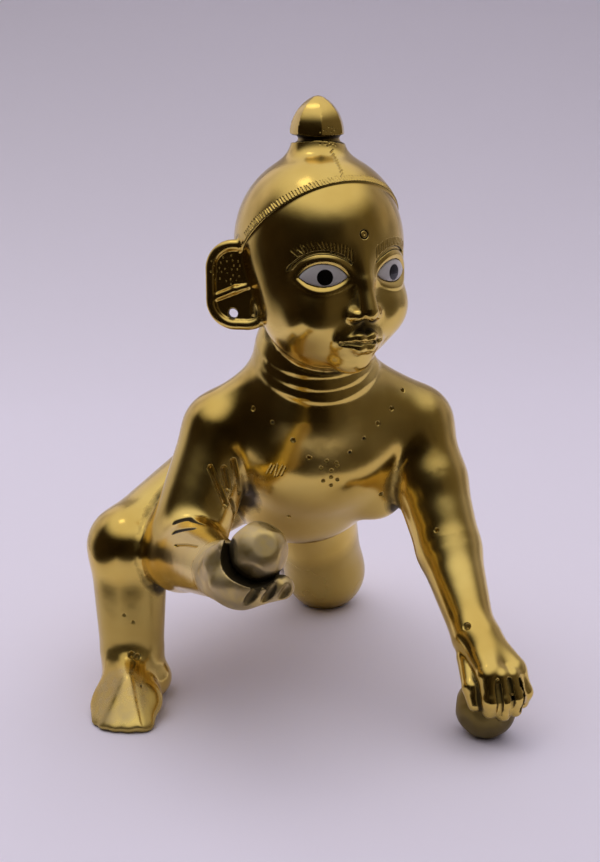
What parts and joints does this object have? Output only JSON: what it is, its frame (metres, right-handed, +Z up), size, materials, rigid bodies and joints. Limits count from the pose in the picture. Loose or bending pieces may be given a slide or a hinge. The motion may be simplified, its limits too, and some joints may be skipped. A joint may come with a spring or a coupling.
{
  "type": "crawling krishna figure",
  "caption": "Small cast brass figure of a crawling infant with a topknot and inlaid enamel eyes, its right hand raised with a ball, the left leaning on another.",
  "frame": {"origin": "on the ground under the middle of the figure's outline", "axes": "+Z up, -Y the way the figure crawls and faces, +X its own left"},
  "size_m": [0.0754, 0.1122, 0.11],
  "materials": {
    "brass": "polished, with a brown patina in the hollows",
    "enamel": "glossy white vitreous enamel with a black pupil"
  },
  "bodies": {
    "root": {"figure": "brass", "left_eye": "enamel", "right_eye": "enamel"}
  },
  "joints": []
}
